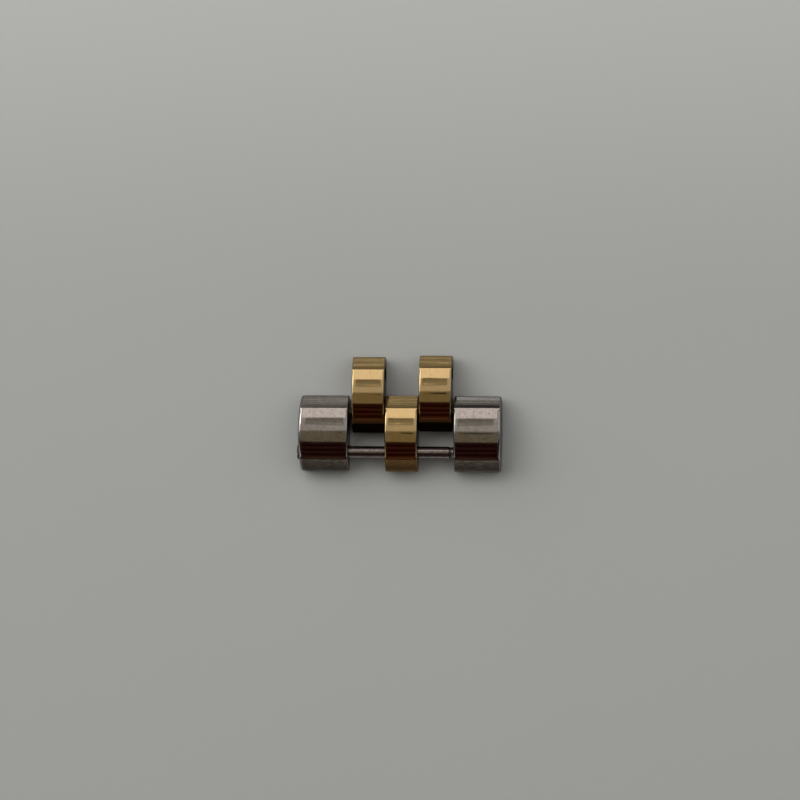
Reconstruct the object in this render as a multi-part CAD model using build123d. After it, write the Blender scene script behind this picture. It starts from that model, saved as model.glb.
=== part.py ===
from build123d import *
import math
import os

# Five-piece-wide watch bracelet link: two steel outer links and a gold centre link in one row,
# two gold intermediate links hinged on a hidden pin in the next row, and a slotted link screw.
# X runs across the bracelet along the pins, Y runs along the bracelet, Z points up to the crown.
# The origin is on the underside, in the middle of the outer row. All lengths are millimetres.

# Widths across the bracelet
left_outer_width = 4.08
right_outer_width = 3.86
inner_width = 2.65
side_gap = 0.18

# How far the two outside faces curve back at their ends, seen from above
left_side_bow = 0.20
right_side_bow = 0.07

# How far each loose link lies to the right of even spacing, inside its side play
left_intermediate_set = 0.15
centre_set = 0.03
right_intermediate_set = -0.03

# Section of every link, seen from the side
link_length = 6.2
link_thickness = 2.5
crown_radius = 5.2
crown_length = 4.2
shoulder_height = 1.20
flank_bulge = 0.03
heel_radius = 0.60

# Rounded edges
inner_crown_round = 0.17
outer_crown_round = 0.32
inner_edge_break = 0.05
left_side_break = 0.25
right_side_break = 0.14
hole_edge_break = 0.04

# Holes
hole_height = 1.12
screw_hole_setback = 1.58
pin_hole_setback = 1.40
play_along = 0.07

# Link screw
shank_radius = 0.50
thread_radius = 0.52
thread_depth = 0.09
thread_pitch = 0.25
thread_lead_out = 0.26
thread_length = 2.75
thread_relief_length = 0.12
tip_break = 0.12
head_radius = 0.62
head_length = 0.90
head_round = 0.09
slot_width = 0.24
slot_depth = 0.34
backed_out = 0.14

# Fixed pin
pin_radius = 0.50
pin_seat_depth = 2.9
pin_end_break = 0.08

# Fits
screw_clearance = 0.03
head_clearance = 0.04
pin_clearance = 0.02
hinge_clearance = 0.09
press_interference = 0.005
blind_end_room = 0.15

# Cuts run this far past the faces that they open, and the bow trims this much off the outside faces
overrun = 0.3
bow_trim = 0.02

# Angles: the broken edges, and the screwdriver slot from upright as the screw was left
break_angle = 45
slot_turn = 25

# Places worked out from the sizes above
half_length = link_length / 2
screw_y = screw_hole_setback - half_length
pin_y = half_length - pin_hole_setback
row_offset = pin_y - screw_y

inner_step = inner_width + side_gap
row_width = left_outer_width + 3 * inner_step + side_gap + right_outer_width
left_outside = -row_width / 2
right_outside = row_width / 2
left_inside = left_outside + left_outer_width
right_inside = right_outside - right_outer_width
middle_x = (left_inside + right_inside) / 2

screw_hole_radius = thread_radius + screw_clearance
counterbore_radius = head_radius + head_clearance
head_recess = left_side_bow * (screw_y / half_length) ** 2
counterbore_depth = head_length + head_recess
thread_start = right_inside - thread_lead_out - backed_out
first_ring = thread_start + thread_relief_length
screw_tip = thread_start + thread_length
threaded_hole_end = screw_tip + backed_out + blind_end_room

# The grooves in the hole keep in step with the rings of the screw
first_groove = first_ring + math.ceil((right_inside - first_ring) / thread_pitch) * thread_pitch


def link_profile():
    """Side view of one link: crown arc, two bulged flanks, rounded heels and a flat underside."""
    crown_half = crown_length / 2
    crown_drop = crown_radius - math.sqrt(crown_radius**2 - crown_half**2)
    crease_z = link_thickness - crown_drop
    middle_y = (crown_half + half_length) / 2
    middle_z = (crease_z + shoulder_height) / 2
    flank_run = half_length - crown_half
    flank_fall = crease_z - shoulder_height
    flank_span = math.hypot(flank_run, flank_fall)
    bulge_y = middle_y + flank_bulge * flank_fall / flank_span
    bulge_z = middle_z + flank_bulge * flank_run / flank_span
    heel_y = half_length - heel_radius

    outline = [ThreePointArc((-crown_half, crease_z), (0, link_thickness), (crown_half, crease_z))]
    for side in (-1, 1):
        shoulder = (side * half_length, shoulder_height)
        heel_top = (side * half_length, heel_radius)
        flank = ThreePointArc((side * crown_half, crease_z), (side * bulge_y, bulge_z), shoulder)
        heel = TangentArc(heel_top, (side * heel_y, 0), tangent=(0, -1))
        outline += [flank, Line(shoulder, heel_top), heel]
    outline.append(Line((-heel_y, 0), (heel_y, 0)))
    return make_face(outline)


def rod(radius, x_from, x_to, y, z):
    """Round bar along X between two stations."""
    return extrude(Plane.YZ.offset(x_from) * Pos(y, z) * Circle(radius), x_to - x_from)


def hole(radius, x_from, x_to, y):
    """Round cut along X at the height of the pin holes."""
    return rod(radius, x_from, x_to, y, hole_height)


def countersink(radius, x_face, y, into):
    """Small cone that breaks the edge of a hole at a side face; into is +1 or -1 along X."""
    plane = Plane.YZ.offset(x_face - into * overrun)
    wide = plane * Pos(y, hole_height) * Circle(radius + hole_edge_break + overrun)
    narrow = Plane.YZ.offset(x_face + into * hole_edge_break) * Pos(y, hole_height) * Circle(radius)
    return loft([wide.face(), narrow.face()])


def crown_disc(x_from, x_to, y, left_round, right_round):
    """Disc whose rim is the crown, with its two side edges rounded."""
    disc = rod(crown_radius, x_from, x_to, y, link_thickness - crown_radius)
    rims = disc.edges().filter_by(GeomType.CIRCLE).sort_by(Axis.X)
    disc = fillet(rims[0], left_round)
    rims = disc.edges().filter_by(GeomType.CIRCLE).sort_by(Axis.X)
    return fillet(rims[-1], right_round)


def link_bar(x_from, x_to, y, left_break, right_break):
    """Link section run along X, with the edges of both side faces broken all round."""
    left_section = Plane.YZ.offset(x_from + left_break) * Pos(y, 0) * link_profile()
    right_section = Plane.YZ.offset(x_to - right_break) * Pos(y, 0) * link_profile()
    middle = extrude(left_section, x_to - right_break - x_from - left_break)
    left_end = extrude(left_section, left_break, dir=(-1, 0, 0), taper=break_angle)
    right_end = extrude(right_section, right_break, dir=(1, 0, 0), taper=break_angle)
    return middle + left_end + right_end


def link_blank(x_from, x_to, y, left_edges, right_edges):
    """Link with no holes; each side gives its crown round and its edge break."""
    left_round, left_break = left_edges
    right_round, right_break = right_edges
    bar = link_bar(x_from, x_to, y, left_break, right_break)
    return bar & crown_disc(x_from, x_to, y, left_round, right_round)


def side_bow(x_face, bow, into):
    """Wide upright cylinder that an outer link is trimmed to; into is +1 or -1 along X."""
    radius = half_length**2 / (2 * bow) + bow / 2
    return Pos(x_face + into * radius, 0, link_thickness / 2) * Cylinder(radius, 2 * link_thickness)


inner_edges = (inner_crown_round, inner_edge_break)
left_side_edges = (outer_crown_round, left_side_break)
right_side_edges = (outer_crown_round, right_side_break)


def inner_link(x_middle, y, screw_end_radius, pin_end_radius):
    """Gold link with two holes right through, each with its edges broken."""
    x_from, x_to = x_middle - inner_width / 2, x_middle + inner_width / 2
    link = link_blank(x_from, x_to, y, inner_edges, inner_edges)
    for hole_y, radius in ((y + screw_y, screw_end_radius), (y + pin_y, pin_end_radius)):
        link -= hole(radius, x_from - overrun, x_to + overrun, hole_y)
        link -= countersink(radius, x_from, hole_y, 1)
        link -= countersink(radius, x_to, hole_y, -1)
    return link


def centre_link():
    """Link between the two outer links, on the pin and the screw."""
    return inner_link(middle_x + centre_set, 0, screw_hole_radius, pin_radius + pin_clearance)


def intermediate_link(side, side_set):
    """Link of the next row, which turns on the hidden pin; side is -1 on the left, +1 on the right."""
    x_middle = middle_x + side * inner_step + side_set
    y = row_offset + side * play_along
    return inner_link(x_middle, y, pin_radius + hinge_clearance, screw_hole_radius)


def left_outer_link():
    """Steel link with the counterbored hole that the link screw goes in through."""
    link = link_blank(left_outside - bow_trim, left_inside, 0, left_side_edges, inner_edges)
    link = link & side_bow(left_outside, left_side_bow, 1)
    link -= hole(screw_hole_radius, left_outside - overrun, left_inside + overrun, screw_y)
    link -= hole(counterbore_radius, left_outside - overrun, left_outside + counterbore_depth,
                 screw_y)
    link -= countersink(counterbore_radius, left_outside + head_recess, screw_y, 1)
    link -= hole(pin_radius - press_interference, left_inside - pin_seat_depth - blind_end_room,
                 left_inside + overrun, pin_y)
    return link


def thread_rings(x_from, x_to, root_radius, crest_radius):
    """Rings that stand for a thread, each one pitch long, between two stations."""
    count = int((x_to - x_from) / thread_pitch)
    quarter = thread_pitch / 4
    points = [(x_from, 0), (x_from, root_radius)]
    for turn in range(count):
        start = x_from + turn * thread_pitch
        points += [(start + quarter, crest_radius), (start + 2 * quarter, crest_radius)]
        points += [(start + 3 * quarter, root_radius), (start + 4 * quarter, root_radius)]
    points.append((points[-1][0], 0))
    section = make_face(Polyline(points, close=True))
    seat = Pos(0, screw_y, hole_height)
    return seat * revolve(Plane.XZ * section, Axis.X)


def right_outer_link():
    """Steel link with the blind threaded hole that the link screw pulls into."""
    link = link_blank(right_inside, right_outside + bow_trim, 0, inner_edges, right_side_edges)
    link = link & side_bow(right_outside, right_side_bow, -1)
    link -= hole(screw_hole_radius, right_inside - overrun, threaded_hole_end, screw_y)
    link -= thread_rings(first_groove, threaded_hole_end - blind_end_room,
                         thread_radius, screw_hole_radius + thread_depth / 2)
    link -= hole(pin_radius - press_interference, right_inside - overrun,
                 right_inside + pin_seat_depth + blind_end_room, pin_y)
    return link


def link_pin():
    """Fixed pin, pressed into both outer links, that the intermediate links turn on."""
    pin = hole(pin_radius, left_inside - pin_seat_depth, right_inside + pin_seat_depth, pin_y)
    return chamfer(pin.edges().filter_by(GeomType.CIRCLE), pin_end_break)


def link_screw():
    """Link screw: slotted head on the left, plain shank, relief and thread on the right."""
    head_start = left_outside - backed_out
    head_end = head_start + head_length
    head = hole(head_radius, head_start, head_end, screw_y)
    head = fillet(head.edges().filter_by(GeomType.CIRCLE).sort_by(Axis.X)[0], head_round)
    shank = hole(shank_radius, head_end, thread_start, screw_y)
    relief = hole(thread_radius - thread_depth, thread_start, first_ring, screw_y)
    rings = thread_rings(first_ring, screw_tip - tip_break, thread_radius - thread_depth,
                         thread_radius)
    core_end = rings.bounding_box().max.X
    tip = hole(thread_radius - thread_depth, core_end, screw_tip, screw_y)
    tip = chamfer(tip.edges().filter_by(GeomType.CIRCLE).sort_by(Axis.X)[-1], tip_break)
    slot = Box(2 * slot_depth, slot_width, 2 * head_radius + overrun)
    slot = Pos(head_start, screw_y, hole_height) * Rotation(slot_turn, 0, 0) * slot
    return head + shank + relief + rings + tip - slot


nodes = {
    "left_outer_link": left_outer_link(),
    "right_outer_link": right_outer_link(),
    "centre_link": centre_link(),
    "left_intermediate_link": intermediate_link(-1, left_intermediate_set),
    "right_intermediate_link": intermediate_link(1, right_intermediate_set),
    "link_pin": link_pin(),
    "link_screw": link_screw(),
}

os.makedirs("parts", exist_ok=True)
for name, shape in nodes.items():
    export_step(shape, f"parts/{name}.step")

print("pin axis y, z", round(pin_y, 3), hole_height)
print("screw axis y, z", round(screw_y, 3), hole_height)
print("row offset", round(row_offset, 3), "middle x", round(middle_x, 3))
print("inside faces", round(left_inside, 3), round(right_inside, 3))
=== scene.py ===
# %% [markdown]
# # A two-tone watch bracelet link
# The real object is one removable link of a watch bracelet, about 16.6 mm wide. Two polished steel
# links and one gold link make a row, a slotted screw and a hidden pin run through them, and two more
# gold links hang on the pin. The CAD frame already gives every piece its place and size. This lesson
# rebuilds what the eye sees, with finer curves than the frame has, and gives it metal, floor and
# light.

# %% Load the frame
import math

import bmesh
import bpy
from mathutils import Matrix, Vector


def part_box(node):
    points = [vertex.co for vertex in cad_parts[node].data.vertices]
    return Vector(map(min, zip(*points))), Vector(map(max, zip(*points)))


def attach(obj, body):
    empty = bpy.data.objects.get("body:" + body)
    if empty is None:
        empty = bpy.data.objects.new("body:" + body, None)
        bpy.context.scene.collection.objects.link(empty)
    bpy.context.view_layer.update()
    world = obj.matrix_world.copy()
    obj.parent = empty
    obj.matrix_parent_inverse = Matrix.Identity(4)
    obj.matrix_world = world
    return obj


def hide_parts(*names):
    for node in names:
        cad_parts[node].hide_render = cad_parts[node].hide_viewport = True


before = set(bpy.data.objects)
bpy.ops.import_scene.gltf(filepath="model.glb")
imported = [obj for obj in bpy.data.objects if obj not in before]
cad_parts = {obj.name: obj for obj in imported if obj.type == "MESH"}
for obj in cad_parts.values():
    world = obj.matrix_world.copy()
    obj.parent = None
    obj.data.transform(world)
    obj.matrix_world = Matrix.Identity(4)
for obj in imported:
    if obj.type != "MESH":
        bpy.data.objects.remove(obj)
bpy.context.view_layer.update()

print("frame pieces:", sorted(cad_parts))

# %% [markdown]
# Meshes this small are easiest to read in millimetres, so each one is built that way and shrunk to
# metres as its last step. The links share one kind of side view: a wide crown arc on top, a very
# slightly bulged flank at each end, a short upright shoulder, and rounded heels. Length and thickness
# come from the frame. The rest are the shape's own sizes, nearly all the same as in the CAD.

# %% Sizes of a link, in millimetres
millimetre = 0.001


def node_box(frame_name):
    """Lowest and highest corner of a frame piece, in millimetres."""
    low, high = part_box(frame_name)
    return low / millimetre, high / millimetre


centre_low, centre_high = node_box("centre_link")
link_length = centre_high.y - centre_low.y
link_thickness = centre_high.z - centre_low.z
crown_radius = 5.2
crown_half = 2.1
shoulder_height = 1.2
flank_bulge = 0.02
heel_radius = 0.6
print("link length and thickness:", round(link_length, 3), round(link_thickness, 3))

# %% [markdown]
# A polished crown shows every flat as a kink in its reflections. So the outline isn't drawn by hand:
# each stretch is an arc, stepped finely, and every point carries the tilt of its surface. The tilt
# is what later rounds the side edges, because an edge is rounded by moving in along the surface's
# own normal. Only half an outline is worked out at a time, because the two ends of a real link can
# differ a little.

# %% Half of the side view
upright = math.radians(90)
downward = math.radians(180)
crown_steps = 40
crease_steps = 4
flank_steps = 16
shoulder_steps = 6
heel_steps = 14


def arc_points(centre_y, centre_z, radius, first_tilt, last_tilt, steps):
    """Points (y, z, tilt) along an arc; a tilt of 0 faces up and 90 degrees faces along +Y."""
    points = []
    for step in range(steps + 1):
        tilt = first_tilt + (last_tilt - first_tilt) * step / steps
        y = centre_y + radius * math.sin(tilt)
        z = centre_z + radius * math.cos(tilt)
        points.append((y, z, tilt))
    return points


def corner_points(corner_y, corner_z, radius, first_tilt, last_tilt, steps):
    """Arc that rounds a corner between two surfaces of these tilts."""
    middle = (first_tilt + last_tilt) / 2
    reach = radius / math.cos((last_tilt - first_tilt) / 2)
    centre_y = corner_y - reach * math.sin(middle)
    centre_z = corner_z - reach * math.cos(middle)
    return arc_points(centre_y, centre_z, radius, first_tilt, last_tilt, steps)


def half_outline(crease_y, crease_round, shoulder_round):
    """The +Y half of the side view, from the top of the crown to the middle of the underside."""
    crease_tilt = math.asin(crease_y / crown_radius)
    crease_z = link_thickness - crown_radius * (1 - math.cos(crease_tilt))
    flank_run = link_length / 2 - crease_y
    flank_fall = crease_z - shoulder_height
    flank_span = math.hypot(flank_run, flank_fall)
    flank_radius = flank_span**2 / (8 * flank_bulge) + flank_bulge / 2
    flank_half_angle = math.asin(flank_span / 2 / flank_radius)
    first_tilt = math.atan2(flank_fall, flank_run) - flank_half_angle
    last_tilt = math.atan2(flank_fall, flank_run) + flank_half_angle
    crease_setback = crease_round * math.tan((first_tilt - crease_tilt) / 2)
    crown_end = crease_tilt - crease_setback / crown_radius
    flank_start = first_tilt + crease_setback / flank_radius
    shoulder_setback = shoulder_round * math.tan((upright - last_tilt) / 2)
    flank_end = last_tilt - shoulder_setback / flank_radius
    flank_y = crease_y - flank_radius * math.sin(first_tilt)
    flank_z = crease_z - flank_radius * math.cos(first_tilt)
    end_y = link_length / 2
    crown_z = link_thickness - crown_radius
    heel_y = end_y - heel_radius
    points = arc_points(0, crown_z, crown_radius, 0, crown_end, crown_steps)
    points += corner_points(crease_y, crease_z, crease_round, crease_tilt, first_tilt, crease_steps)
    points += arc_points(flank_y, flank_z, flank_radius, flank_start, flank_end, flank_steps)
    points += corner_points(
        end_y, shoulder_height, shoulder_round, last_tilt, upright, shoulder_steps)
    points += arc_points(heel_y, heel_radius, heel_radius, upright, downward, heel_steps)
    points.append((0, 0, downward))
    print("flank tilts:", [round(math.degrees(tilt), 1) for tilt in (first_tilt, last_tilt)])
    return points


def whole_outline(far_half, near_half):
    """Both halves of the side view as one loop; the near half is the one on the -Y side."""
    return far_half + [(-y, z, -tilt) for y, z, tilt in near_half[-2:0:-1]]


# %% [markdown]
# Hand polishing leaves no two links alike, and the photograph shows it where a crown ends. The gold
# links have crisp shoulders and the steel ones softer shoulders. The left steel link has a slightly
# rounder crease at its far end, and the right one a broad one that starts later. The crowns of the
# two hinged links reach a little further towards their hinge.

# %% The outlines of the links
crisp_crease = 0.2
soft_crease = 0.3
broad_crease = 2.0
late_crown_half = 2.35
hinged_crown_half = 2.33
crisp_shoulder = 0.12
soft_shoulder = 0.24
broad_crease_shoulder = 0.2
gold_half = half_outline(crown_half, crisp_crease, crisp_shoulder)
hinged_half = half_outline(hinged_crown_half, crisp_crease, crisp_shoulder)
steel_half = half_outline(crown_half, crisp_crease, soft_shoulder)
left_far_half = half_outline(crown_half, soft_crease, soft_shoulder)
right_far_half = half_outline(late_crown_half, broad_crease, broad_crease_shoulder)
gold_outline = whole_outline(gold_half, gold_half)
hinged_outline = whole_outline(gold_half, hinged_half)
left_steel_outline = whole_outline(left_far_half, steel_half)
right_steel_outline = whole_outline(right_far_half, steel_half)
print("outline points:", len(gold_outline), len(left_steel_outline))

# %% [markdown]
# A bar and a turned part are both a row of rings with a strip of faces between each two. A few small
# tools do that for all of them, and another one turns the finished mesh into an object. A face is
# marked with a number when it is made, and the number later picks its finish.

# %% Small tools for meshes
def join_rings(bm, ring, following, marks):
    """Fills the strip between two rings; there is one mark for each of its faces."""
    for index in range(len(ring)):
        beside = (index + 1) % len(ring)
        corners = (ring[index], ring[beside], following[beside], following[index])
        bm.faces.new(corners).material_index = marks[index]


def finished_object(name, bm):
    """Turns a bmesh into an object of the scene, with its faces turned outward."""
    bmesh.ops.recalc_face_normals(bm, faces=bm.faces)
    mesh = bpy.data.meshes.new(name)
    bm.to_mesh(mesh)
    bm.free()
    piece = bpy.data.objects.new(name, mesh)
    bpy.context.scene.collection.objects.link(piece)
    return piece


# %% [markdown]
# The bar is a grid: the outline is repeated at many stations across the link. At both sides the
# stations follow a quarter circle, so the side edges are round. The round is wide on the polished
# crown, where the buffing wheel reached, and small on the flanks, and it changes over a short stretch
# before the crease. The crown also swells very slightly across its width, which is why reflections
# sit at another place on each real link.

# %% Round side edges
round_steps = 8
middle_steps = 10
last_station = 2 * round_steps + middle_steps
crown_tilt = math.asin(crown_half / crown_radius)
round_fade = 0.16
swell_radius = 186
inner_rounds = (0.17, 0.05)
left_side_rounds = (0.32, 0.2)
right_side_rounds = (0.32, 0.12)


def edge_round(y, tilt, rounds):
    """Radius of the side edge at an outline point: wide on the crown, small elsewhere."""
    crown_round, small_round = rounds
    if abs(tilt) > crown_tilt:
        return small_round
    share = min(1, (crown_half - abs(y)) / round_fade)
    eased = share * share * (3 - 2 * share)
    return small_round + (crown_round - small_round) * eased


def ring_at(station, outline, x_from, x_to, y_middle, left_rounds, right_rounds):
    """One ring of bar points; stations run from the left side face to the right one."""
    ring = []
    for y, z, tilt in outline:
        left = edge_round(y, tilt, left_rounds)
        right = edge_round(y, tilt, right_rounds)
        inset = 0
        if station <= round_steps:
            turn = upright * station / round_steps
            x = x_from + left * (1 - math.cos(turn))
            inset = left * (1 - math.sin(turn))
        elif station >= last_station - round_steps:
            turn = upright * (last_station - station) / round_steps
            x = x_to - right * (1 - math.cos(turn))
            inset = right * (1 - math.sin(turn))
        else:
            share = (station - round_steps) / middle_steps
            x = x_from + left + (x_to - right - x_from - left) * share
        inset += (x - (x_from + x_to) / 2) ** 2 / (2 * swell_radius)
        ring.append((x, y_middle + y - inset * math.sin(tilt), z - inset * math.cos(tilt)))
    return ring


# %% [markdown]
# Each face of the bar is marked by where it lies, so that the crown can be polished, the flanks wiped
# and the ends left dull and darkened with painted shade. The outer half of a crown's edge round
# belongs to the side face, so it takes the side faces' painted shade. The rounds beside the near
# flank have a mark of their own: on the hinged links they get the same near-black painted shade as
# the flank.

# %% The bar of a link
crown_face, flank_face, near_flank_face, side_face, end_face, bore_face, near_rim_face = range(7)
# The outer steps of a crown's edge round take the side faces' painted shade.
shaded_rim_steps = 4
first_flank_tilt = math.radians(30)
first_end_tilt = math.radians(50)


def finish_at(station, first_tilt, last_tilt):
    """Which finish a face of the bar has; the near flank is the one that faces -Y."""
    from_side = min(station, last_station - 1 - station)
    steepest = max(abs(first_tilt), abs(last_tilt))
    on_crown = steepest <= first_flank_tilt
    if from_side < round_steps and not on_crown and steepest <= first_end_tilt and first_tilt < 0:
        return near_rim_face
    if from_side < (shaded_rim_steps if on_crown else round_steps):
        return side_face
    if on_crown:
        return crown_face
    if steepest > first_end_tilt:
        return end_face
    return flank_face if first_tilt > 0 else near_flank_face


def link_bar(name, outline, x_from, x_to, y_middle, left_rounds, right_rounds):
    """Closed link without holes."""
    bm = bmesh.new()
    rings = []
    for station in range(last_station + 1):
        places = ring_at(station, outline, x_from, x_to, y_middle, left_rounds, right_rounds)
        rings.append([bm.verts.new(place) for place in places])
    tilts = [tilt for _, _, tilt in outline]
    tilts_beside = tilts[1:] + tilts[:1]
    for station, (ring, following) in enumerate(zip(rings, rings[1:])):
        marks = [finish_at(station, *pair) for pair in zip(tilts, tilts_beside)]
        join_rings(bm, ring, following, marks)
    for ring in (rings[0], rings[-1]):
        bm.faces.new(ring).material_index = side_face
    return finished_object(name, bm)


# %% [markdown]
# The holes could be modelled into the grid, but the side faces would then need hand-made meshes.
# A boolean cut is simpler and stays exact: each cutter is turned, like a drill with a rounding
# shoulder, so the hole's edge comes out with the small round that a countersink leaves. The faces
# that the cut leaves inside a hole are marked afterwards by their distance from its axis.

# %% Turned cutters for the holes
overrun = 0.3
hole_edge_round = 0.04
mouth_steps = 4
hole_height = 1.12
points_around = 96
bore_slack = 0.005


def add_ring(bm, x, y, radii):
    """Adds a ring of points about the hole axis at this y, with one radius for each point."""
    ring = []
    for index, radius in enumerate(radii):
        angle = 2 * math.pi * index / len(radii)
        place = (x, y + radius * math.cos(angle), hole_height + radius * math.sin(angle))
        ring.append(bm.verts.new(place))
    return ring


def drill(path, y):
    """Turned cutter along X from a path of (x, radius) points."""
    bm = bmesh.new()
    rings = [add_ring(bm, x, y, [radius] * points_around) for x, radius in path]
    for ring, following in zip(rings, rings[1:]):
        join_rings(bm, ring, following, [0] * points_around)
    bm.faces.new(rings[0])
    bm.faces.new(rings[-1])
    return finished_object("drill", bm)


def mouth(x_face, into, radius):
    """Path of a rounded hole edge, from outside the face to the plain bore; into is +1 or -1."""
    path = [(x_face - into * overrun, radius + hole_edge_round)]
    for step in range(mouth_steps + 1):
        turn = upright * (1 - step / mouth_steps)
        x = x_face + into * hole_edge_round * (1 - math.sin(turn))
        path.append((x, radius + hole_edge_round * (1 - math.cos(turn))))
    return path


def cut(piece, cutters):
    """Takes the cutters out of a piece for good and deletes them."""
    for cutter in cutters:
        change = piece.modifiers.new("hole", "BOOLEAN")
        change.object = cutter
        change.operation = "DIFFERENCE"
        change.solver = "EXACT"
    bpy.context.view_layer.update()
    evaluated = piece.evaluated_get(bpy.context.evaluated_depsgraph_get())
    carved = bpy.data.meshes.new_from_object(evaluated)
    piece.modifiers.clear()
    piece.data = carved
    for cutter in cutters:
        bpy.data.objects.remove(cutter)
    print(piece.name, "faces after cutting:", len(carved.polygons))


def mark_bores(piece, holes):
    """Marks the faces that lie wholly inside the holes, given as (y, widest radius) pairs."""
    for hole_y, radius in holes:
        inside = []
        for vert in piece.data.vertices:
            from_axis = math.hypot(vert.co.y - hole_y, vert.co.z - hole_height)
            inside.append(from_axis < radius + bore_slack)
        for face in piece.data.polygons:
            if all(inside[index] for index in face.vertices):
                face.material_index = bore_face


# %% [markdown]
# Smooth shading has to stop at real corners, or the flat side faces look dented. So edges that turn
# by more than a chosen angle are marked sharp, and a weighted normal modifier lets the large faces
# decide how the light falls over the thin rounded strips beside them.

# %% Shading, and the step to metres
sharp_angle = math.radians(35)
weld_distance = 0.0005


def smooth_in_metres(piece):
    """Marks corners sharp, smooths the rest and shrinks the mesh to metres."""
    bm = bmesh.new()
    bm.from_mesh(piece.data)
    bmesh.ops.remove_doubles(bm, verts=bm.verts, dist=weld_distance)
    for face in bm.faces:
        face.smooth = True
    for edge in bm.edges:
        edge.smooth = not (len(edge.link_faces) == 2 and edge.calc_face_angle() > sharp_angle)
    bmesh.ops.scale(bm, vec=(millimetre, millimetre, millimetre), verts=bm.verts)
    bm.to_mesh(piece.data)
    bm.free()
    weights = piece.modifiers.new("even shading", "WEIGHTED_NORMAL")
    weights.keep_sharp = True
    low, high = Vector(piece.bound_box[0]), Vector(piece.bound_box[6])
    print(piece.name, "size in mm:", [round(side / millimetre, 3) for side in high - low])


# %% [markdown]
# All three gold links are the same tool's work. Each has a hole right through at both ends. In the
# centre link they hold the row's own screw and pin. A hinged link swings on the pin with its near
# hole, which is a little wider for that, and its far hole takes the next row's screw.

# %% The three gold links
screw_low, screw_high = node_box("link_screw")
pin_low, pin_high = node_box("link_pin")
screw_y = (screw_low.y + screw_high.y) / 2
pin_y = (pin_low.y + pin_high.y) / 2
screw_hole_radius = 0.55
pin_hole_radius = 0.52
hinge_hole_radius = 0.59
print("from row to row in mm:", round(pin_y - screw_y, 2))


def gold_link(name, frame_name, outline, near_hole_radius, far_hole_radius):
    """Gold link in the place of a frame piece, with its two holes."""
    low, high = node_box(frame_name)
    y_middle = (low.y + high.y) / 2
    link = link_bar(name, outline, low.x, high.x, y_middle, inner_rounds, inner_rounds)
    cutters = []
    holes = []
    for hole_y, radius in ((screw_y, near_hole_radius), (pin_y, far_hole_radius)):
        path = mouth(low.x, 1, radius) + mouth(high.x, -1, radius)[::-1]
        cutters.append(drill(path, y_middle + hole_y))
        holes.append((y_middle + hole_y, radius + hole_edge_round))
    cut(link, cutters)
    mark_bores(link, holes)
    smooth_in_metres(link)
    return link


gold_centre = gold_link(
    "gold_centre", "centre_link", gold_outline, screw_hole_radius, pin_hole_radius)
gold_left = gold_link(
    "gold_left", "left_intermediate_link", hinged_outline, hinge_hole_radius, screw_hole_radius)
gold_right = gold_link(
    "gold_right", "right_intermediate_link", hinged_outline, hinge_hole_radius, screw_hole_radius)

# %% [markdown]
# The steel links close the row. Seen from above, their outer faces are slightly curved, most of all
# the left one. A flat face can't be bent, so it is first cut into strips, and then each point near it
# moves inward by how far it lies from the link's middle.

# %% Steel links with a curved outer face
left_bow = 0.2
right_bow = 0.07
bow_strips = 24
bow_reach = 1.5
on_face = 0.0001


def fall_back(y, bow):
    """How far an outer face lies behind its middle at this place along the link."""
    return bow * (2 * y / link_length) ** 2


def bow_side(link, x_face, into, bow):
    """Curves an outer face back at both ends; into is +1 or -1 along X, away from the face."""
    bm = bmesh.new()
    bm.from_mesh(link.data)
    for strip in range(1, bow_strips):
        flat = [face for face in bm.faces if abs(face.calc_center_median().x - x_face) < on_face]
        rims = {edge for face in flat for edge in face.edges}
        corners = {vert for face in flat for vert in face.verts}
        line = (0, link_length * (strip / bow_strips - 0.5), 0)
        geometry = flat + list(rims) + list(corners)
        bmesh.ops.bisect_plane(bm, geom=geometry, plane_co=line, plane_no=(0, 1, 0))
    for vert in bm.verts:
        nearness = 1 - into * (vert.co.x - x_face) / bow_reach
        if nearness > 0:
            eased = nearness * nearness * (3 - 2 * nearness)
            vert.co.x += into * fall_back(vert.co.y, bow) * eased
    bm.to_mesh(link.data)
    bm.free()


def steel_link(name, frame_name, outline, rounds, bow_of, paths):
    """Steel link in the place of a frame piece; paths are (y, path) pairs of its holes."""
    low, high = node_box(frame_name)
    link = link_bar(name, outline, low.x, high.x, 0, *rounds)
    bow_side(link, *bow_of)
    cut(link, [drill(path, hole_y) for hole_y, path in paths])
    mark_bores(link, [(hole_y, max(radius for _, radius in path)) for hole_y, path in paths])
    smooth_in_metres(link)
    return link


# %% [markdown]
# The left steel link has a counterbore in its outer face for the screw's head and a hole right
# through behind it. The right one has a blind hole with thread grooves. Both have a blind hole for
# the pin, which is pressed in and stays. The grooves are plain rings, because nobody can look far
# enough into the hole to tell them from a helix.

# %% The two steel links
head_length = 0.9
counterbore_radius = 0.66
pin_seat_radius = 0.495
blind_end_room = 0.15
thread_pitch = 0.25
thread_depth = 0.09
thread_radius = 0.52
groove_radius = screw_hole_radius + thread_depth / 2
groove_places = ((0.25, groove_radius), (0.5, groove_radius), (0.75, thread_radius))


def threaded_path(x_face, x_end):
    """Hole from the right link's inner face, with a groove at every turn of the thread."""
    path = mouth(x_face, 1, screw_hole_radius)
    x = x_face + 2 * hole_edge_round
    while x + thread_pitch < x_end:
        path += [(x + share * thread_pitch, radius) for share, radius in groove_places]
        x += thread_pitch
    path.append((x_end, thread_radius))
    return path


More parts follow.
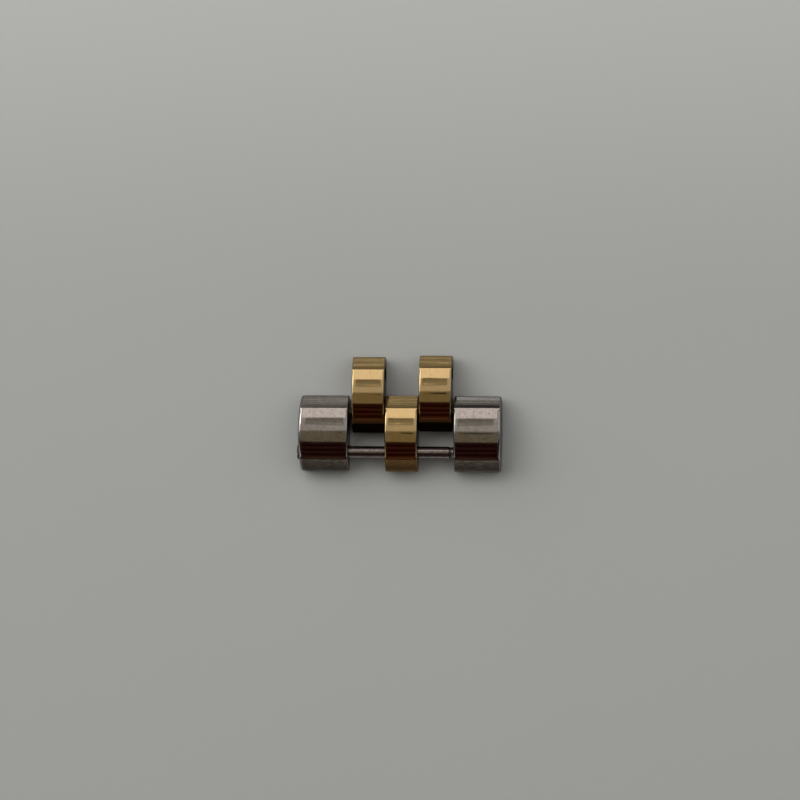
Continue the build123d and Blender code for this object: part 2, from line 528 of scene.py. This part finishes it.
left_low, left_high = node_box("left_outer_link")
right_low, right_high = node_box("right_outer_link")
counterbore_mouth = left_low.x + fall_back(screw_y, left_bow)
counterbore_end = counterbore_mouth + head_length
screw_path = mouth(counterbore_mouth, 1, counterbore_radius)
screw_path += [(counterbore_end, counterbore_radius), (counterbore_end, screw_hole_radius)]
screw_path += mouth(left_high.x, -1, screw_hole_radius)[::-1]
left_seat = [(pin_low.x - blind_end_room, pin_seat_radius)]
left_seat += mouth(left_high.x, -1, pin_seat_radius)[::-1]
right_seat = mouth(right_low.x, 1, pin_seat_radius)
right_seat += [(pin_high.x + blind_end_room, pin_seat_radius)]
thread_path = threaded_path(right_low.x, screw_high.x + thread_pitch + blind_end_room)
steel_left = steel_link(
    "steel_left", "left_outer_link", left_steel_outline, (left_side_rounds, inner_rounds),
    (left_low.x, 1, left_bow), [(screw_y, screw_path), (pin_y, left_seat)])
steel_right = steel_link(
    "steel_right", "right_outer_link", right_steel_outline, (inner_rounds, right_side_rounds),
    (right_high.x, -1, right_bow), [(screw_y, thread_path), (pin_y, right_seat)])

# %% [markdown]
# The screw is turned in one piece: a low head with a rounded rim, a plain shank, a short relief and
# the thread. A thread is a helix, so a simple turned path won't do. Here each ring of points is
# pushed out by how far it lies along the helix at that angle, and the push fades in at the start and
# out at the tip, the way a die leaves it.

# %% The shape of the link screw
shank_radius = 0.5
head_radius = 0.62
head_round = 0.09
head_dome = 0.03
head_steps = 6
head_middle_radius = 0.02
screw_chamfer = 0.03
relief_slope = 0.01
thread_length = 2.75
relief_length = 0.12
thread_steps = 14
thread_flank = 0.25
thread_crest_end = 0.75
tip_break = 0.12
root_radius = thread_radius - thread_depth
thread_start = screw_high.x - thread_length
first_turn = thread_start + relief_length


def thread_height(x, angle):
    """Height of the thread above its root, as a share of its depth."""
    turn = ((x - first_turn) / thread_pitch - angle / (2 * math.pi)) % 1
    flat_top = max(0, min(1, turn / thread_flank, (thread_crest_end - turn) / thread_flank))
    fade = max(0, min(1, (x - first_turn) / thread_pitch, (screw_high.x - x) / thread_pitch))
    return flat_top * fade


def head_and_shank():
    """Path of the head, from its slightly domed end face, and of the plain shank."""
    path = [(screw_low.x, head_middle_radius)]
    for step in range(1, head_steps + 1):
        radius = (head_radius - head_round) * step / head_steps
        path.append((screw_low.x + head_dome * (radius / head_radius) ** 2, radius))
    for step in range(1, head_steps + 1):
        turn = upright * step / head_steps
        x = screw_low.x + head_dome + (head_round - head_dome) * (1 - math.cos(turn))
        path.append((x, head_radius - head_round * (1 - math.sin(turn))))
    head_end = screw_low.x + head_length
    path += [(head_end - screw_chamfer, head_radius), (head_end, head_radius - screw_chamfer)]
    path += [(head_end, shank_radius), (thread_start - screw_chamfer, shank_radius)]
    path += [(thread_start, shank_radius - screw_chamfer)]
    path += [(thread_start + relief_slope, root_radius)]
    return path


def screw_rings():
    """All rings of the screw as (x, list of radii)."""
    rings = [(x, [radius] * points_around) for x, radius in head_and_shank()]
    steps = int((screw_high.x - first_turn) / thread_pitch * thread_steps)
    for step in range(steps + 1):
        x = first_turn + (screw_high.x - first_turn) * step / steps
        tip_limit = root_radius - max(0, tip_break - (screw_high.x - x))
        radii = []
        for index in range(points_around):
            rise = thread_depth * thread_height(x, 2 * math.pi * index / points_around)
            radii.append(min(root_radius + rise, tip_limit + rise))
        rings.append((x, radii))
    return rings


# %% [markdown]
# The head and a narrow ring beside the thread get a darker finish, so those faces get a mark of their
# own. The slot is cut last and stands a little off upright, because the photograph shows no more of
# it than a dark edge.

# %% The link screw
darkened_face = 1
darkened_length = 0.24
slot_width = 0.24
slot_depth = 0.34
slot_turn = math.radians(25)


def screw_blank():
    """Screw before its slot is cut."""
    bm = bmesh.new()
    rings = [add_ring(bm, x, screw_y, radii) for x, radii in screw_rings()]
    for ring, following in zip(rings, rings[1:]):
        on_head = following[0].co.x < screw_low.x + head_length
        from_darkened = abs(ring[0].co.x - thread_start - darkened_length / 2)
        mark = darkened_face if on_head or from_darkened < darkened_length / 2 else 0
        join_rings(bm, ring, following, [mark] * points_around)
    bm.faces.new(rings[0]).material_index = darkened_face
    bm.faces.new(rings[-1])
    return finished_object("slotted_screw", bm)


def slot_cutter():
    """Straight bar that cuts the screwdriver slot."""
    bm = bmesh.new()
    bmesh.ops.create_cube(bm, size=1)
    size = Matrix.Diagonal((2 * slot_depth, slot_width, 3 * head_radius, 1))
    place = Matrix.Translation((screw_low.x, screw_y, hole_height))
    bm.transform(place @ Matrix.Rotation(slot_turn, 4, "X") @ size)
    return finished_object("slot", bm)


slotted_screw = screw_blank()
cut(slotted_screw, [slot_cutter()])
smooth_in_metres(slotted_screw)

# %% [markdown]
# Every finish here is bare metal, so one recipe with different settings serves them all. What makes
# metal look real is never its colour alone: the polish is uneven, hairline scratches cross it, pits
# catch dark spots and handling leaves a faint film. The patterns are read from the piece's own
# coordinates in metres, so they stay put when a link swings, and need no image and no unwrapping.

# %% Small tools for finishes
def node(tree, kind, inputs=(), **settings):
    """Adds a shader node, sets its options and feeds its inputs with numbers or other outputs."""
    made = tree.nodes.new("ShaderNode" + kind)
    for option, value in settings.items():
        setattr(made, option, value)
    for key, value in dict(inputs).items():
        if isinstance(value, bpy.types.NodeSocket):
            tree.links.new(value, made.inputs[key])
        else:
            made.inputs[key].default_value = value
    return made


def maths(tree, operation, first, second=0.0, third=0.0):
    """Result of one sum on two or three numbers or outputs."""
    inputs = {0: first, 1: second, 2: third}
    return node(tree, "Math", inputs, operation=operation).outputs[0]


def step_between(tree, value, low, high, to_low=0.0, to_high=1.0):
    """Eases from one number to another while the value runs from low to high."""
    inputs = {"Value": value, "From Min": low, "From Max": high, "To Min": to_low, "To Max": to_high}
    return node(tree, "MapRange", inputs, interpolation_type="SMOOTHSTEP").outputs["Result"]


def blend_colours(tree, share, first, second):
    """Colour between two colours, each an output or three numbers."""
    colours = {}
    for key, colour in ((6, first), (7, second)):
        colours[key] = colour if isinstance(colour, bpy.types.NodeSocket) else (*colour, 1)
    made = node(tree, "Mix", {0: share, **colours}, data_type="RGBA")
    return made.outputs[2]


def grain(tree, per_millimetre, turn=(0, 0, 0), detail=3.0, seed=0.0):
    """Noise with this many lumps a millimetre along X, Y and Z, turned by degrees first."""
    place = node(tree, "TexCoord").outputs["Object"]
    rotation = [math.radians(angle) for angle in turn]
    rotate = {"Vector": place, "Rotation": rotation}
    turned_place = node(tree, "VectorRotate", rotate, rotation_type="EULER_XYZ").outputs[0]
    scale = Vector(per_millimetre) / millimetre
    mapping = {"Vector": turned_place, "Location": (seed, seed, seed), "Scale": scale}
    scaled = node(tree, "Mapping", mapping).outputs[0]
    noise = {"Vector": scaled, "Scale": 1.0, "Detail": detail, "Roughness": 0.55}
    return node(tree, "TexNoise", noise).outputs[0]


# %% [markdown]
# Four patterns are enough. The film is a noise of large blotches with a finer mottle over it. A
# scratch is a noise stretched into long cells, of which only the highest ridges are kept, and three
# such sets cross each other, each with its turn in degrees, its seed and its cells a millimetre.
# Wiping leaves fine lines across the link, and pits are the few highest peaks of a fine noise.

# %% Patterns on worn metal
scratch_sets = ((18, 1.0, 7.0), (-34, 5.0, 9.0), (83, 12.0, 8.0))


def film_cloud(tree, film_share):
    """Blotches and mottle of the film, in equal parts."""
    blotches = step_between(tree, grain(tree, (2.2, 3.0, 3.0), seed=3.0), 0.38, 0.68)
    mottle = step_between(tree, grain(tree, (7.0, 9.0, 9.0), seed=8.0, detail=4.0), 0.35, 0.7)
    return maths(tree, "MULTIPLY", maths(tree, "ADD", blotches, mottle), 0.5 * film_share)


def hairlines(tree, turn, seed, spacing):
    """Thin scratches that all run the same way."""
    long_cells = grain(tree, (0.35, spacing, spacing), (0, 0, turn), 2.0, seed)
    return step_between(tree, long_cells, 0.62, 0.68)


def crossed_hairlines(tree):
    """Thin scratches in three directions."""
    first, second, third = [hairlines(tree, *scratch_set) for scratch_set in scratch_sets]
    return maths(tree, "MAXIMUM", maths(tree, "MAXIMUM", first, second), third)


def pits_pattern(tree):
    """Small round pits, far apart."""
    return step_between(tree, grain(tree, (9.0, 9.0, 9.0), seed=30.0, detail=1.0), 0.69, 0.74)


# %% [markdown]
# The recipe mixes the patterns three ways. The colour gets a faint film in blotches and dark pits,
# the roughness rises where scratches and film lie, and a bump of well under a micrometre bends the
# reflections as hand polishing does.

# %% The metal recipe
line_strength, line_tone = 0.6, 0.45
pit_strength, pit_tone = 0.55, 0.25
film_roughness = 0.05
scratch_roughness = 0.08
line_roughness = 0.1
swell_height = 6.0
scratch_height = 0.35
pit_height = 0.8
line_height = 1.2
micrometre = 0.001 * millimetre


def metal(name, colour, film, roughness, film_share=0.5, lines=0.0, scratches=0.5, pits=0.5,
          wave=1.0, grazing=1.0):
    """Bare metal; lines is how strongly it is lined along X, wave how uneven the polish is, and
    grazing how well it still mirrors at a flat angle, where a low value paints shade."""
    material = bpy.data.materials.new(name)
    material.use_nodes = True
    tree = material.node_tree
    tree.nodes.clear()
    cloud = film_cloud(tree, film_share)
    crossed = crossed_hairlines(tree)
    lined = grain(tree, (0.16, 7.0, 7.0), seed=21.0, detail=5.0)
    lined_share = step_between(tree, lined, 0.42, 0.62)
    pit_share = pits_pattern(tree)
    uneven = grain(tree, (0.5, 0.8, 0.8), seed=40.0, detail=1.0)

    def times(output, amount):
        return maths(tree, "MULTIPLY", output, amount)

    tone = blend_colours(tree, cloud, colour, film)
    line_colour = [line_tone * part for part in film]
    tone = blend_colours(tree, times(lined_share, line_strength * lines), tone, line_colour)
    pit_colour = [pit_tone * part for part in film]
    tone = blend_colours(tree, times(pit_share, pit_strength * pits), tone, pit_colour)
    rough = maths(tree, "MULTIPLY_ADD", cloud, film_roughness, roughness)
    rough = maths(tree, "ADD", rough, times(crossed, scratch_roughness * scratches))
    rough = maths(tree, "ADD", rough, times(lined_share, line_roughness * lines))
    swell = times(uneven, swell_height * wave)
    height = maths(tree, "SUBTRACT", swell, times(crossed, scratch_height * scratches))
    height = maths(tree, "SUBTRACT", height, times(pit_share, pit_height * pits))
    height = maths(tree, "ADD", height, times(lined, line_height * lines))
    bump = node(tree, "Bump", {"Height": height, "Strength": 1.0, "Distance": micrometre})
    surface = {"Base Color": tone, "Metallic": 1.0, "Roughness": rough, "Normal": bump.outputs[0],
               "Specular Tint": (grazing, grazing, grazing, 1)}
    shader = node(tree, "BsdfPrincipled", surface)
    node(tree, "OutputMaterial", {"Surface": shader.outputs[0]})
    print("finish:", name)
    return material


# %% [markdown]
# Steel has one bright polish for its crown and a wiped one for its flanks, where lines and smears
# stay; the near flank's film is darker, partly smears and partly painted shade, as that flank faces
# away from the lamps. The side faces are satin and the ends under the flanks are dull, and both have
# a dark base colour that is painted shade. On these a low grazing value dims the mirror at a flat
# angle, which is painted shade too: without that, every dark rim would get a pale edge.

# %% Steel finishes
steel = (0.67, 0.65, 0.62)
steel_film = (0.52, 0.46, 0.44)
# Partly smears and partly painted shade: the darker film of the near flank, which faces away from the
# lamps.
smear_and_shade_film = (0.3, 0.26, 0.235)
# Painted shade: the dark base colour of the side faces stands for the shaded table they mirror.
shaded_satin_grey = (0.28, 0.265, 0.25)
# Painted shade: the dark base colour of the ends under the flanks, for the dark lines at the links'
# ends.
shaded_end_grey, shaded_end_grey_film = (0.3, 0.28, 0.26), (0.15, 0.13, 0.115)
turned_grey, turned_grey_film = (0.5, 0.46, 0.45), (0.24, 0.2, 0.19)
darkened_brown = (0.24, 0.205, 0.2)
# Grime on the hidden pin; in the steel bores the same dark colour is painted shade.
grime_and_shade_grey = (0.1, 0.09, 0.08)
dark_film = (0.045, 0.036, 0.028)
steel_crown = metal(
    "polished_steel", steel, steel_film, roughness=0.06, film_share=0.9, pits=1.0)
steel_flank = metal(
    "wiped_steel", steel, steel_film, roughness=0.07, film_share=0.8, lines=0.7, scratches=0.8)
steel_near_flank = metal(
    "smeared_and_shaded_steel", steel, smear_and_shade_film, roughness=0.08, film_share=1.1, lines=0.6,
    scratches=1.0, pits=1.0)
steel_side = metal(
    "satin_steel_painted_shade", shaded_satin_grey, steel_film, roughness=0.14, film_share=0.2, lines=0.4, pits=0.3,
    grazing=0.35)
steel_end = metal(
    "dull_steel_end_painted_shade", shaded_end_grey, shaded_end_grey_film, roughness=0.34, film_share=0.8, lines=0.6,
    grazing=0.3)
# The screw's dark film and low grazing value are painted shade: it lies in the shade between the
# links.
turned_steel = metal(
    "turned_steel", turned_grey, turned_grey_film, roughness=0.2, film_share=0.9, scratches=0.4,
    pits=0.0, wave=0.4, grazing=0.2)
darkened = metal(
    "screw_darkened", darkened_brown, dark_film, roughness=0.3, film_share=0.9, grazing=0.2)
pin_steel = metal(
    "grimy_pin_and_shaded_bore_steel", grime_and_shade_grey, dark_film, roughness=0.4, film_share=1.0, scratches=0.8)

# %% [markdown]
# The gold links have the same set, with the same painted shade on their side faces and ends. Their
# near flanks differ: the centre link's one is a darker brown, painted shade on the flank that faces
# away from the lamps, and those of the hinged links are nearly black, painted shade deep between the
# links, which their near rounds and all gold bores share.

# %% Gold finishes
gold = (1.0, 0.75, 0.385)
gold_film = (0.84, 0.58, 0.25)
# Painted shade: the darker brown of the centre link's near flank, which faces away from the lamps.
shaded_brown_gold, shaded_brown_film = (0.78, 0.5, 0.22), (0.45, 0.3, 0.14)
# Painted shade: the dark base colour of the side faces stands for the shaded table they mirror.
shaded_satin_yellow = (0.3, 0.22, 0.12)
# Painted shade: the dark base colour of the ends under the flanks, for the dark lines at the links'
# ends.
shaded_end_yellow, shaded_end_yellow_film = (0.32, 0.225, 0.115), (0.16, 0.115, 0.07)
# Painted shade: near black for the hinged links' near flanks and the rounds beside them, deep between
# the links, and for the gold bores.
shade_black_gold, shade_black_gold_film = (0.03, 0.018, 0.008), (0.012, 0.009, 0.007)
gold_crown = metal("polished_gold", gold, gold_film, roughness=0.05, film_share=0.5, pits=0.6)
gold_flank = metal(
    "wiped_gold", gold, gold_film, roughness=0.06, film_share=1.0, lines=1.0, scratches=0.7)
brown_flank = metal(
    "shaded_brown_gold", shaded_brown_gold, shaded_brown_film, roughness=0.1, film_share=1.2, lines=0.7)
gold_side = metal(
    "satin_gold_painted_shade", shaded_satin_yellow, gold_film, roughness=0.14, film_share=0.2, lines=0.4, pits=0.3,
    grazing=0.35)
gold_end = metal(
    "dull_gold_end_painted_shade", shaded_end_yellow, shaded_end_yellow_film, roughness=0.34, film_share=0.8, lines=0.6,
    grazing=0.3)
gold_hinge_shade = metal(
    "shaded_hinge_gold", shade_black_gold, shade_black_gold_film, roughness=0.2, film_share=1.0, lines=0.4,
    grazing=0.2)

# %% [markdown]
# The finish goes on by face. The faces kept their marks through the cutting, so each piece only needs
# its finishes in the order of the marks. The hidden pin keeps its frame mesh, because a plain pin
# needs nothing finer, and only gets a dirty ground finish. The bores of the steel links share it, and
# there its dark colour is painted shade in the holes.

# %% Put the finishes on
def put_on(piece, materials):
    """Gives a piece its finishes, in the order of the face marks."""
    slots = piece.data.materials
    for index, material in enumerate(materials):
        if index < len(slots):
            slots[index] = material
        else:
            slots.append(material)
    print(piece.name, "finishes:", len(materials))


steel_finishes = (
    steel_crown, steel_flank, steel_near_flank, steel_side, steel_end, pin_steel, steel_side)
centre_finishes = (
    gold_crown, gold_flank, brown_flank, gold_side, gold_end, gold_hinge_shade, gold_side)
hinged_finishes = (
    gold_crown, gold_flank, gold_hinge_shade, gold_side, gold_end, gold_hinge_shade, gold_hinge_shade)
put_on(steel_left, steel_finishes)
put_on(steel_right, steel_finishes)
put_on(gold_centre, centre_finishes)
put_on(gold_left, hinged_finishes)
put_on(gold_right, hinged_finishes)
put_on(slotted_screw, (turned_steel, darkened))
put_on(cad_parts["link_pin"], (pin_steel,))

# %% [markdown]
# The link lies on a plain pale table. The table only has to hold the shadow and fill the view, so it
# is one large sheet. Its colour varies a little so that it doesn't look like a computer's grey, and
# it is painted paler towards the far side, as in the photograph: painted light, where more light
# falls.

# %% The table
table_size = 1.2
table_drop = 0.00001
table_greys = ((0.38, 0.39, 0.382), (0.394, 0.406, 0.402))
# Painted light: the paler grey towards the far side, where more light falls.
painted_light_grey = (0.48, 0.492, 0.497)
far_from, far_to = 0.008, 0.045
table_roughness = 0.55
table_bm = bmesh.new()
bmesh.ops.create_grid(table_bm, x_segments=2, y_segments=2, size=table_size / 2)
table = finished_object("table", table_bm)
table.location.z = -table_drop
paint = bpy.data.materials.new("pale_table")
paint.use_nodes = True
paint_tree = paint.node_tree
paint_tree.nodes.clear()
haze = grain(paint_tree, (0.03, 0.03, 0.03), detail=2.0)
pale = blend_colours(paint_tree, haze, *table_greys)
table_places = node(paint_tree, "TexCoord").outputs["Object"]
table_y = node(paint_tree, "SeparateXYZ", {0: table_places}).outputs[1]
painted_light_share = step_between(paint_tree, table_y, far_from, far_to)
pale = blend_colours(paint_tree, painted_light_share, pale, painted_light_grey)
paint_inputs = {"Base Color": pale, "Roughness": table_roughness}
paint_shader = node(paint_tree, "BsdfPrincipled", paint_inputs)
node(paint_tree, "OutputMaterial", {"Surface": paint_shader.outputs[0]})
table.data.materials.append(paint)
print("table size in m:", table_size)

# %% [markdown]
# Polished metal shows the room, so the room is half of its look. A band's place on a crown arc tells
# its angle in the room, because a mirror doubles the surface's tilt. So the room is a world painted
# by two angles only: how far a direction leans along the link, and how far it leans across it. It
# stays fixed in the room, wherever the camera goes.

# %% The two angles of the room
room = bpy.data.worlds.new("soft_room")
bpy.context.scene.world = room
room.use_nodes = True
room_tree = room.node_tree
room_tree.nodes.clear()
room_direction = node(room_tree, "TexCoord").outputs["Generated"]
parts = node(room_tree, "SeparateXYZ", {0: room_direction}).outputs
along = maths(room_tree, "ARCTAN2", parts[1], parts[2])
along = maths(room_tree, "MULTIPLY", along, math.degrees(1))
across = maths(room_tree, "MULTIPLY", maths(room_tree, "ARCSINE", parts[0]), math.degrees(1))
print("room:", room.name)

# %% [markdown]
# Straight above the link the room is striped from the near side to the far one, and each stripe
# starts at its angle. From the top of a crown downwards they are the bright band, a grey one, a dim
# olive one and a deep maroon one. Beyond 70 degrees on either side lie the narrow bands that only the
# flanks mirror. The sides of the room are plainer, because only edges and other views show them.

# %% Bands of the room
band_softness = 0.7
maroon = (0.0085, 0.0018, 0.0015)
middle_bands = [
    (-90, (0.035, 0.03, 0.025)), (-84, (0.068, 0.058, 0.047)), (-79, (0.13, 0.112, 0.092)),
    (-71, (0.02, 0.012, 0.009)), (-47, (0.052, 0.028, 0.015)), (-43.5, maroon),
    (-15.4, (0.132, 0.11, 0.073)), (4.6, (0.335, 0.305, 0.275)), (28.5, (0.7, 0.63, 0.585)),
    (52, (0.035, 0.032, 0.03)), (71, (0.17, 0.161, 0.139)), (75, (0.105, 0.099, 0.084)),
    (78.3, (0.3, 0.29, 0.26)), (81.5, (0.22, 0.212, 0.19)), (83.5, (0.3, 0.29, 0.26)),
    (86.5, (0.14, 0.13, 0.115)),
]
side_bands = [
    (-90, (0.3, 0.29, 0.28)), (-54, (0.02, 0.018, 0.016)), (-16, (0.12, 0.115, 0.11)),
    (6, (0.3, 0.29, 0.28)), (60, (0.24, 0.235, 0.23)),
]
middle_range, middle_softness = (-17, 11), 4


def band_ramp(bands):
    """Colour by the angle along the link; each band starts at its angle, with a soft edge."""
    share = maths(room_tree, "MULTIPLY_ADD", along, 1 / 180, 0.5)
    ramp = node(room_tree, "ValToRGB", {0: share})
    stops = ramp.color_ramp.elements
    stops.remove(stops[1])
    stops[0].position = 0
    stops[0].color = (*bands[0][1], 1)
    for (_, before), (start, colour) in zip(bands, bands[1:]):
        for shift, tone in ((-band_softness, before), (band_softness, colour)):
            stops.new((start + shift + 90) / 180).color = (*tone, 1)
    return ramp.outputs[0]


def within(value, low, high, softness):
    """1 where the value lies between two angles and 0 elsewhere, with soft edges."""
    rise = step_between(room_tree, value, low - softness, low + softness)
    fall = step_between(room_tree, value, high - softness, high + softness)
    return maths(room_tree, "MULTIPLY", rise, maths(room_tree, "SUBTRACT", 1.0, fall))


middle_share = within(across, *middle_range, middle_softness)
room_colour = blend_colours(
    room_tree, middle_share, band_ramp(side_bands), band_ramp(middle_bands))
print("bands above and at the sides:", len(middle_bands), len(side_bands))

# %% [markdown]
# The grey band on each crown has rounded ends, so it can't be a plain stripe. It is a rectangle whose
# corners are rounded by adding high powers of the two distances from its middle. The maroon band is
# crossed by a few thin brownish stripes, which a cosine gives.

# %% The grey band with rounded ends, and thin stripes
grey_middle, grey_half_size = (-5.0, 21.8), (3.4, 6.9)
grey_low, grey_high = (0.185, 0.168, 0.14), (0.13, 0.115, 0.092)
grey_turn = (20, 28)
grey_edge = (0.75, 1.25)
corner_power = 4.0
stripe_period = 8.5
stripe_middle = -34.9
stripe_edge = (-0.2, 0.9)
stripe_range, stripe_softness = (-50, -18), 2
stripe_colour = (0.028, 0.0085, 0.0065)


def far_out(value, middle, half_size):
    """How far the value lies from the middle of a patch: 1 at its edge, rising steeply there."""
    reach = maths(room_tree, "DIVIDE", maths(room_tree, "SUBTRACT", value, middle), half_size)
    return maths(room_tree, "POWER", maths(room_tree, "ABSOLUTE", reach), corner_power)


grey_outwards = maths(
    room_tree, "ADD", far_out(across, grey_middle[0], grey_half_size[0]),
    far_out(along, grey_middle[1], grey_half_size[1]))
grey_share = step_between(room_tree, grey_outwards, *grey_edge, 1.0, 0.0)
grey_colour = blend_colours(
    room_tree, step_between(room_tree, along, *grey_turn), grey_low, grey_high)
room_colour = blend_colours(room_tree, grey_share, room_colour, grey_colour)
stripe_turn = maths(room_tree, "SUBTRACT", along, stripe_middle)
stripe_turn = maths(room_tree, "MULTIPLY", stripe_turn, 2 * math.pi / stripe_period)
stripes = maths(room_tree, "COSINE", stripe_turn)
stripe_share = step_between(room_tree, stripes, *stripe_edge)
stripe_part = within(along, *stripe_range, stripe_softness)
stripe_share = maths(room_tree, "MULTIPLY", stripe_share, stripe_part)
stripe_share = maths(room_tree, "MULTIPLY", stripe_share, middle_share)
room_colour = blend_colours(room_tree, stripe_share, room_colour, stripe_colour)
print("degrees between stripes:", stripe_period)

# %% [markdown]
# Soft rectangles finish the room: a small light and a dark bar that show on the crowns, darker and
# brighter walls for the side faces and the edge rounds, and one bright card. The card makes the
# bright lines on the left edges of the links, and the walls keep the side faces from going flat.

# %% Walls and cards of the room
left_wall = ((-95, -36), 6)
right_wall = ((40, 95), 8)
small_light = ((-5.5, -4.8), 0.3, (16.6, 19.2), 0.6, (0.46, 0.415, 0.37))
dark_bar = ((-4.8, -2.9), 0.2, (-0.4, 2.4), 0.5, (0.012, 0.009, 0.007))
right_far = (*right_wall, (8, 95), 4, (0.42, 0.41, 0.4))
right_middle = (*right_wall, (-16, 8), 4, (0.14, 0.135, 0.13))
right_near = (*right_wall, (-54, -16), 4, (0.02, 0.018, 0.016))
left_near = (*left_wall, (-54, -18), 4, (0.02, 0.018, 0.016))
left_middle = (*left_wall, (-18, 6), 4, (0.15, 0.145, 0.14))
left_far = (*left_wall, (6, 95), 5, (0.8, 0.79, 0.77))
bright_card = ((-62, -38), 3, (22, 54), 3, (2.4, 2.35, 2.25))
plain_backdrop = (0.36, 0.36, 0.345)


def patch(colour, across_range, across_softness, along_range, along_softness, patch_colour):
    """Paints one soft-edged rectangle of the room over the colour so far."""
    wide = within(across, *across_range, across_softness)
    high = within(along, *along_range, along_softness)
    share = maths(room_tree, "MULTIPLY", wide, high)
    return blend_colours(room_tree, share, colour, patch_colour)


room_patches = (
    small_light, dark_bar, right_far, right_middle, right_near, left_near, left_middle, left_far,
    bright_card)
for room_patch in room_patches:
    room_colour = patch(room_colour, *room_patch)
seen_directly = node(room_tree, "LightPath").outputs["Is Camera Ray"]
room_colour = blend_colours(room_tree, seen_directly, room_colour, plain_backdrop)
background = node(room_tree, "Background", {"Color": room_colour, "Strength": 1.0})
node(room_tree, "OutputWorld", {"Surface": background.outputs[0]})
print("patches:", len(room_patches))

# %% [markdown]
# Two soft lamps light the table and the dull faces. The large one stands at the upper left, where the
# photograph's light comes from, and lays the soft shadow to the lower right. It is close, so the
# table is a little brighter towards it. The weaker one at the right keeps the shadow from going
# black. Polished metal would mirror them as squares, so they are hidden from reflections.

# %% The lamps
lamp_distance = 0.35
lamp_colour = (1.0, 0.985, 0.95)


def soft_lamp(name, across_degrees, along_degrees, size, radiance):
    """Square lamp that faces the link from this direction and that polished metal doesn't mirror."""
    across_turn, along_turn = math.radians(across_degrees), math.radians(along_degrees)
    direction = Vector((
        math.sin(across_turn),
        math.cos(across_turn) * math.sin(along_turn),
        math.cos(across_turn) * math.cos(along_turn),
    ))
    data = bpy.data.lights.new(name, "AREA")
    data.shape = "SQUARE"
    data.size = size
    data.energy = radiance * math.pi * size**2
    data.color = lamp_colour
    lamp = bpy.data.objects.new(name, data)
    lamp.location = lamp_distance * direction
    lamp.rotation_mode = "QUATERNION"
    lamp.rotation_quaternion = direction.to_track_quat("Z", "Y")
    lamp.visible_glossy = False
    bpy.context.scene.collection.objects.link(lamp)
    print(name, "power in watts:", round(data.energy, 3))


soft_lamp("main_lamp", across_degrees=-40, along_degrees=50, size=0.56, radiance=1.88)
soft_lamp("fill_lamp", across_degrees=46, along_degrees=18, size=0.42, radiance=0.82)

# %% [markdown]
# The camera looks nearly straight down, leaning about 5 degrees towards the right, which is why
# every right-hand side face shows as a thin strip. It stands far off with a long lens, and the lens
# follows from the width of the view. A small roll turns the link clockwise as in the photograph.

# %% The camera
image_width = 800
pixels_per_millimetre = 12.24
camera_distance = 0.30
camera_lean = math.radians(5.0)
camera_roll = math.radians(0.34)
view_middle = Vector((-0.04, 2.76, 1.1)) * millimetre
view_width = image_width / pixels_per_millimetre * millimetre
camera_data = bpy.data.cameras.new("camera")
camera_data.sensor_width = 36
camera_data.lens = camera_data.sensor_width * camera_distance / view_width
camera_data.clip_start = 0.01
camera_data.clip_end = 10
camera = bpy.data.objects.new("camera", camera_data)
turn_of_camera = Matrix.Rotation(camera_lean, 4, "Y") @ Matrix.Rotation(camera_roll, 4, "Z")
stand = view_middle + camera_distance * (turn_of_camera @ Vector((0, 0, 1)))
camera.matrix_world = Matrix.Translation(stand) @ turn_of_camera
bpy.context.scene.collection.objects.link(camera)
bpy.context.scene.camera = camera
bpy.context.scene.view_settings.view_transform = "Standard"
print("lens in mm:", round(camera_data.lens, 1))

# %% [markdown]
# Last, each rebuilt piece takes its frame piece's place and its body, so it moves with the right
# joint.

# %% Tie the pieces to the frame
pairings = [
    (steel_left, "left_outer_link", "outer_row", "outer_steel"),
    (steel_right, "right_outer_link", "outer_row", "outer_steel"),
    (gold_centre, "centre_link", "outer_row", "yellow_gold"),
    (gold_left, "left_intermediate_link", "left_intermediate", "yellow_gold"),
    (gold_right, "right_intermediate_link", "right_intermediate", "yellow_gold"),
    (slotted_screw, "link_screw", "screw", "screw_steel"),
]
for piece, replaced, body, material_slot in pairings:
    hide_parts(replaced)
    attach(piece, body)
